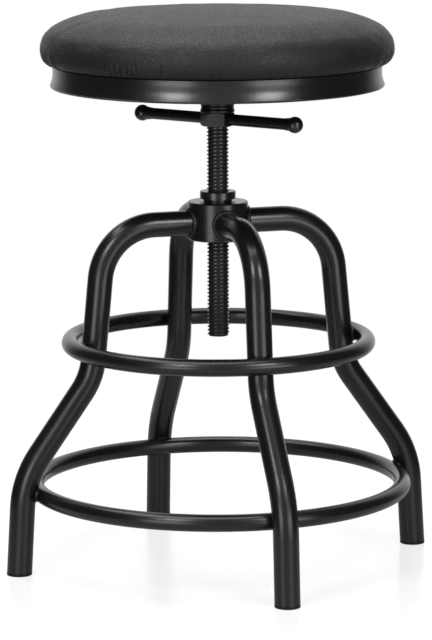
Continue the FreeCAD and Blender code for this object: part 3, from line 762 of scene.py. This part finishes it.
# %% [markdown]
# The gathers come from drawing a flat round of leathercloth in under the board:
# at the lower edge there is too much cloth, and it lies in short creases. The
# photograph shows a tight group of them left of the middle, some at both ends, and
# a few faint ones between. Each crease is a narrow groove in the grid, a bell
# curve across its width that fades as it climbs the side, with a soft swell on
# either side where the spare cloth goes.

# %% Where the cloth gathers
SEEN_CREASES = np.array([  # turn from the camera's side in degrees, share of the usual depth
    (-82.0, 1.5), (-77.0, 1.6), (-72.5, 1.3), (-67.0, 1.0), (-36.8, 0.8),
    (-34.2, 1.2), (-32.4, 1.3), (-29.9, 1.2), (-28.0, 1.3), (-26.0, 0.6),
    (-18.2, 0.5), (-5.0, 0.35), (-1.6, 0.6), (0.6, 0.45), (17.0, 0.4),
    (63.0, 0.5), (70.0, 0.8), (75.0, 0.9), (80.0, 1.1), (85.0, 1.2)])
FAR_CREASES = 44
FAR_TURNS = (92.0, 270.0)
FAR_SHARES = (0.3, 1.5)
CREASE_DEPTH = 0.0024
CREASE_WIDTHS = (0.40, 0.60)
CREASE_LENGTHS = (0.016, 0.027)
CREASE_SLANTS = (-1.4, 1.4)
CREASE_SEED = 7
SWELL = 0.45
SWELL_WIDTH = 2.6


def crease_list():
    """Turn, depth, width, length and slant of every crease, with angles in radians: those seen,
    then seeded ones behind."""
    chance = np.random.default_rng(CREASE_SEED)
    far_turn = np.sort(chance.uniform(*FAR_TURNS, FAR_CREASES))
    turn = np.concatenate([SEEN_CREASES[:, 0], far_turn])
    share = np.concatenate([SEEN_CREASES[:, 1], chance.uniform(*FAR_SHARES, FAR_CREASES)])
    width = np.radians(chance.uniform(*CREASE_WIDTHS, len(turn)))
    length = chance.uniform(*CREASE_LENGTHS, len(turn))
    slant = np.radians(chance.uniform(*CREASE_SLANTS, len(turn)))
    return np.radians(turn), share * CREASE_DEPTH, width, length, slant


def apart(angle, other):
    """How far one angle is from another, the short way round."""
    return (angle - other + np.pi) % (2 * np.pi) - np.pi


def gathers(angle, height):
    """How far each grid point is drawn in: per crease, a bell curve across minus a wider, lower
    one, times a fade that falls from 1 at the seam to 0 at the crease's length."""
    turn, depth, width, length, slant = (value[:, None, None] for value in crease_list())
    rise = np.clip((height - SEAM_Z)[None, :, None] / length, 0.0, 1.0)
    off = apart(angle[None, None, :], turn + slant * rise)
    fade = np.cos(rise * np.pi / 2) ** 2
    groove = np.exp(-(off / width) ** 2) - SWELL * np.exp(-(off / (SWELL_WIDTH * width)) ** 2)
    return (depth * fade * groove).sum(axis=0)


print("creases:", len(crease_list()[0]))

# %% [markdown]
# A surface that is worked out as a grid becomes a mesh by joining each point to its
# neighbours. All the faces are worked out at once as arrays of point numbers, which
# is quicker than a loop and keeps the order of the points plain.


# %% Grids to meshes
def round_grid(radius, height, turn):
    """A closed body: rows of (radius, height) carried round the axis, with one point at each
    pole."""
    rows, steps = radius.shape
    way = NEAR[:2, None] * np.cos(turn) + RIGHT[:2, None] * np.sin(turn)
    ring = np.stack([radius * way[0], radius * way[1], height], axis=-1).reshape(-1, 3)
    poles = np.array([[0.0, 0.0, height[0].mean()], [0.0, 0.0, height[-1].mean()]])
    row = np.arange(rows - 1)[:, None] * steps
    here = np.arange(steps)[None, :]
    there = (here + 1) % steps
    quads = np.stack([row + here, row + steps + here, row + steps + there, row + there], axis=-1)
    top = np.stack([np.full(steps, rows * steps), here[0], there[0]], axis=1)
    last = (rows - 1) * steps
    low = np.stack([np.full(steps, rows * steps + 1), last + there[0], last + here[0]], axis=1)
    return np.concatenate([ring, poles]), quads.reshape(-1, 4), np.concatenate([top, low])


def mesh_piece(name, points, quads, triangles=()):
    """A smooth mesh object from point and face arrays, at the origin."""
    mesh = bpy.data.meshes.new(name)
    faces = np.asarray(quads).tolist() + np.asarray(triangles).tolist()
    mesh.from_pydata(points.tolist(), [], faces)
    mesh.validate()
    mesh.polygons.foreach_set("use_smooth", np.ones(len(mesh.polygons), bool))
    piece = bpy.data.objects.new(name, mesh)
    scene.collection.objects.link(piece)
    return piece


def read_points(mesh):
    """The mesh's points as an array of rows x, y, z."""
    points = np.empty(len(mesh.vertices) * 3)
    mesh.vertices.foreach_get("co", points)
    return points.reshape(-1, 3)


print("mesh helpers: round_grid, mesh_piece, read_points")

# %% [markdown]
# A stuffed cover starts out slack and fills as the foam swells. So the coarse grid
# begins a little inside the outline, and is held where the cloth is stapled. Between
# the two, the hold fades over a few millimetres.

# %% A slack cushion for the cloth
CLOTH_STEPS = 180
SLACK = 0.0020
FREE_RISE = 0.005
slope = np.gradient(outline, axis=0)
inward = np.stack([slope[:, 1], -slope[:, 0]], axis=1)
inward /= np.linalg.norm(inward, axis=1, keepdims=True)
skin_rows = sum(ROWS.values()) - ROWS["under"] - ROWS["hem"]
skin = np.arange(len(outline)) < skin_rows
free = np.clip(skin * (outline[:, 1] - SEAM_Z - 0.5 * SHADOW_GAP) / FREE_RISE, 0.0, 1.0)
slack = outline + inward * SLACK * free[:, None]
slack_r, slack_z = np.tile(slack[:, :1], CLOTH_STEPS), np.tile(slack[:, 1:], CLOTH_STEPS)
cloth_turn = np.linspace(0.0, 2 * np.pi, CLOTH_STEPS, endpoint=False)
cloth = mesh_piece("cushion_cloth", *round_grid(slack_r, slack_z, cloth_turn))
print("cloth grid:", len(cloth.data.vertices), "points,", len(cloth.data.polygons), "faces")

# %% Plump it up with air pressure
PLUMP_FRAMES = 20
CLOTH = {
    "quality": 5, "mass": 0.3, "tension_stiffness": 25.0, "compression_stiffness": 25.0,
    "bending_stiffness": 0.5, "use_pressure": True, "uniform_pressure_force": 4.0,
    "vertex_group_mass": "held",
}


def plump(piece, held, frames):
    """Cloth with inner pressure and no gravity, held where the weight is 1. Gives each point's
    move."""
    start = read_points(piece.data)
    pins = piece.vertex_groups.new(name="held")
    for weight in np.unique(held):
        pins.add(np.nonzero(held == weight)[0].tolist(), float(weight), "REPLACE")
    sewn = piece.modifiers.new("plump", "CLOTH")
    for setting, value in CLOTH.items():
        setattr(sewn.settings, setting, value)
    sewn.settings.effector_weights.gravity = 0.0
    sewn.collision_settings.use_collision = False
    sewn.point_cache.frame_end = frames
    for moment in range(1, frames + 1):
        scene.frame_set(moment)
    shaped = piece.evaluated_get(bpy.context.evaluated_depsgraph_get()).to_mesh()
    move = read_points(shaped) - start
    piece.modifiers.remove(sewn)
    scene.frame_set(1)
    return move


move = np.zeros((len(cloth.data.vertices), 3))
held = np.concatenate([np.repeat(np.round(1.0 - free, 2), CLOTH_STEPS), [0.0, 1.0]])
move = plump(cloth, held, PLUMP_FRAMES)
bpy.data.objects.remove(cloth)
moved = np.percentile(np.linalg.norm(move, axis=1), [5, 50, 95])
print("cloth moved by", np.round(moved * 1000, 2).tolist(), "mm")

# %% [markdown]
# The outline is already the measured one, so of the simulation only what differs
# from place to place round the seat is kept. It is smoothed and held to a fraction
# of a millimetre, as on a cover that was stretched by hand.

# %% Keep the cloth's unevenness
UNEVEN_LIMIT = 0.0003


def smoothed(values):
    """Each value averaged with its neighbours round the seat and along the outline, in the
    shares 1, 2, 1."""
    round_seat = (np.roll(values, 1, axis=1) + 2 * values + np.roll(values, -1, axis=1)) / 4
    padded = np.pad(round_seat, ((1, 1), (0, 0)), mode="edge")
    return (padded[:-2] + 2 * padded[1:-1] + padded[2:]) / 4


def unevenness(move):
    """How far the cloth lies off its own even shape: its outward move less the mean of each row,
    softly limited."""
    way = NEAR[:2, None] * np.cos(cloth_turn) + RIGHT[:2, None] * np.sin(cloth_turn)
    rows = move[:-2].reshape(len(outline), CLOTH_STEPS, 3)
    radial = rows[..., 0] * way[0] + rows[..., 1] * way[1]
    outward = -(radial * inward[:, :1] + rows[..., 2] * inward[:, 1:])
    off = smoothed(smoothed(outward - outward.mean(axis=1, keepdims=True))) * free[:, None]
    return UNEVEN_LIMIT * np.tanh(off / UNEVEN_LIMIT)


uneven = unevenness(move)
spread = np.percentile(np.abs(uneven), [50, 95, 100])
print("uneven by", np.round(spread * 1000, 2).tolist(), "mm")

# %% [markdown]
# The creases are only a degree wide, so an even grid fine enough for them would be
# large. The fine grid's steps crowd together near each crease instead.

# %% Crease the cushion
STEPS = 900
TRIAL_STEPS = 7201
CROWDING = 2.0
CROWD_WIDTH = 3.0
# the crease depth at which the painted shade in the gathers is full
FULL_SHADE_DEPTH = 0.0016


def crowded_turns(steps):
    """Angles round the seat, three times as close near a crease as elsewhere: equal steps of the
    summed closeness."""
    fine = np.linspace(0.0, 2 * np.pi, TRIAL_STEPS)
    turn, _, width, _, _ = crease_list()
    off = apart(fine[None, :], turn[:, None])
    close = 1.0 + CROWDING * np.exp(-(off / (CROWD_WIDTH * width[:, None])) ** 2).max(axis=0)
    summed = np.concatenate([[0.0], np.cumsum((close[1:] + close[:-1]) / 2)])
    return np.interp(np.arange(steps) / steps * summed[-1], summed, fine)


def between_turns(values, turn):
    """Rows of values on the cloth's even angles, read at other angles by straight lines between
    neighbours."""
    place = turn / (2 * np.pi) * CLOTH_STEPS
    low = np.floor(place).astype(int) % CLOTH_STEPS
    share = place - np.floor(place)
    return values[:, low] * (1.0 - share) + values[:, (low + 1) % CLOTH_STEPS] * share


turn = crowded_turns(STEPS)
drawn = gathers(turn, outline[:, 1]) * np.sqrt(free)[:, None]
sunk = drawn - between_turns(uneven, turn)
radius = outline[:, :1] + inward[:, :1] * sunk
height = outline[:, 1:] + inward[:, 1:] * sunk
cushion = mesh_piece("cushion", *round_grid(radius, height, turn))
cushion.data.materials.append(leathercloth)
# painted shade: how deep each point lies in a gather, as a share that darkens the cloth's colour
gather_shade = np.concatenate([np.clip(drawn / FULL_SHADE_DEPTH, 0.0, 1.0).reshape(-1), [0.0, 0.0]])
cushion.data.attributes.new("gather_shade", "FLOAT", "POINT").data.foreach_set("value", gather_shade)
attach(cushion, "seat")
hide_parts("seat_cover", "seat_foam")
print("cushion:", len(cushion.data.polygons), "faces, top", round(height.max(), 4))
print("reach", round(radius.max(), 4), "deepest crease", round(drawn.max() * 1000, 2), "mm")

# %% [markdown]
# ## Weld beads
#
# Each leg is welded all round where it enters the hub, and each ring where it
# crosses a leg. A bead is a round section carried along the line where the two
# tubes meet, and its ripples are the frozen edges of the weld pool. Where a tube
# meets the round hub, that line is a saddle: it lies on both cylinders at once.
# Where two tubes cross and sink a little into each other, it is a small oval.

# %% A rippled bead
PATH_STEPS = 168
ROUND_STEPS = 14
BEAD = 0.0024
WANDERS = ((0.07, 3), (0.05, 5))  # share of the size, waves round the bead
PHASES = (0, 6)
RIPPLE = 0.05
RIPPLE_LEAN = 0.6


def full_turn(steps):
    """Even angles once round, without the last."""
    return np.linspace(0.0, 2 * np.pi, steps, endpoint=False)


def bead_round(path, out, ripples, seed):
    """A closed tube: a circle in the plane of the outward and side ways, carried along a closed
    path. The circle's size rises and falls with a leaning wave, one swell for each ripple, and
    wanders a little."""
    along = np.roll(path, -1, axis=0) - np.roll(path, 1, axis=0)
    along /= np.linalg.norm(along, axis=1, keepdims=True)
    out = out - along * (out * along).sum(axis=1, keepdims=True)
    out /= np.linalg.norm(out, axis=1, keepdims=True)
    side = np.cross(along, out)
    t = full_turn(len(path))
    chance = np.random.default_rng(seed)
    wander = sum(size * np.sin(t * waves + chance.uniform(*PHASES)) for size, waves in WANDERS)
    wave = RIPPLE * np.sin(t * ripples + RIPPLE_LEAN * np.sin(t * ripples))
    swell = BEAD * (1.0 + wander + wave)[:, None, None]
    turn = full_turn(ROUND_STEPS)[None, :, None]
    circle = np.cos(turn) * out[:, None, :] + np.sin(turn) * side[:, None, :]
    return path[:, None, :] + swell * circle


print("bead:", PATH_STEPS, "by", ROUND_STEPS, "points, radius", BEAD * 1000, "mm")

# %% The lines that the beads follow
LEG_R = 0.0127
HUB_R = (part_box("hub")[1][0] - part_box("hub")[0][0]) / 2
LEG_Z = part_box("leg_right")[1][2] - LEG_R
RING_R = (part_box("upper_ring")[1][2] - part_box("upper_ring")[0][2]) / 2
WALL_GAP = 0.0004
SADDLE_GROWTH = 1.03
OVAL_GROWTH = 1.12
SINK = 0.0018


def hub_line():
    """The saddle on the right leg: y and z go round the leg, and x is where the hub's round wall
    is at that y."""
    t = full_turn(PATH_STEPS)
    y = LEG_R * np.cos(t)
    z = LEG_R * np.sin(t)
    wall = np.sqrt(HUB_R ** 2 - y ** 2)
    path = np.stack([wall + WALL_GAP, y * SADDLE_GROWTH, LEG_Z + z * SADDLE_GROWTH], axis=1)
    return path, np.stack([wall / HUB_R, y / HUB_R + np.cos(t), np.sin(t)], axis=1)


def ring_line(ring, side, lean):
    """The oval on the right leg: going round it, the sink is shared between the leg's drop s
    across and the ring's drop q along the leg. side is 1 where the ring lies outside the leg,
    and lean is the leg's tilt in degrees."""
    low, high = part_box(ring)
    middle = np.array([high[0] - RING_R, 0.0, (low[2] + high[2]) / 2])
    t = full_turn(PATH_STEPS)
    leg_drop = SINK * np.cos(t) ** 2
    ring_drop = SINK * np.sin(t) ** 2
    s = np.sign(np.cos(t)) * np.sqrt(2 * LEG_R * leg_drop - leg_drop ** 2)
    q = np.sign(np.sin(t)) * np.sqrt(2 * RING_R * ring_drop - ring_drop ** 2)
    tilt = np.radians(lean)
    towards_leg = -side * np.array([np.cos(tilt), 0.0, np.sin(tilt)])
    up_leg = np.array([-np.sin(tilt), 0.0, np.cos(tilt)])
    out = s[:, None] * np.array([0.0, 1.0, 0.0]) + q[:, None] * up_leg
    return middle + (RING_R - ring_drop)[:, None] * towards_leg + OVAL_GROWTH * out, out


print("leg radius", LEG_R, "hub radius", round(HUB_R, 4), "ring radius", round(RING_R, 4))

# %% Lay the beads
LEGS = 4
HUB_RIPPLES = 30
RING_RIPPLES = 16
UPPER_LEAN = 5.65
LOWER_LEAN = 10.2


def weld(name, node, line, ripples):
    """Four copies of a bead, one on each leg, joined in one piece that stands for the CAD node's
    beads."""
    quarter = np.arange(LEGS) * np.pi / 2
    cos, sin, zero, one = np.cos(quarter), np.sin(quarter), np.zeros(LEGS), np.ones(LEGS)
    turns = np.array([[cos, -sin, zero], [sin, cos, zero], [zero, zero, one]])
    beads = np.stack([bead_round(*line, ripples, seed) for seed in range(LEGS)])
    points = np.einsum("ijk,knmj->knmi", turns, beads)
    here = np.arange(PATH_STEPS * ROUND_STEPS).reshape(PATH_STEPS, ROUND_STEPS)
    ahead = np.roll(here, -1, axis=0)
    quads = np.stack([here, np.roll(here, -1, axis=1), np.roll(ahead, -1, axis=1), ahead], axis=-1)
    copies = np.arange(LEGS)[:, None, None] * here.size
    quads = (quads.reshape(1, -1, 4) + copies).reshape(-1, 4)
    piece = mesh_piece(name, points.reshape(-1, 3), quads)
    piece.data.materials.append(finishes["weld_bead"])
    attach(piece, "frame")
    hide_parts(node)
    reach = read_points(piece.data).max(axis=0) * 1000
    cad_reach = np.array(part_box(node)[1]) * 1000
    print(name, "reaches", np.round(reach, 1).tolist(), "CAD bead", np.round(cad_reach, 1).tolist())


weld("hub_weld_beads", "hub_welds", hub_line(), HUB_RIPPLES)
upper_line = ring_line("upper_ring", 1, UPPER_LEAN)
weld("upper_ring_weld_beads", "upper_ring_welds", upper_line, RING_RIPPLES)
lower_line = ring_line("lower_ring", -1, LOWER_LEAN)
weld("lower_ring_weld_beads", "lower_ring_welds", lower_line, RING_RIPPLES)

# %% [markdown]
# ## Sizes
#
# The dressed stool must keep the CAD model's size, so both boxes are measured and their difference
# printed.

# %% Compare the boxes
looks_box = [list(corner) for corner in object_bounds()]
size_change = (np.array(looks_box) - np.array(cad_box)) * 1000
print("size change in mm:", np.round(size_change, 2).tolist())
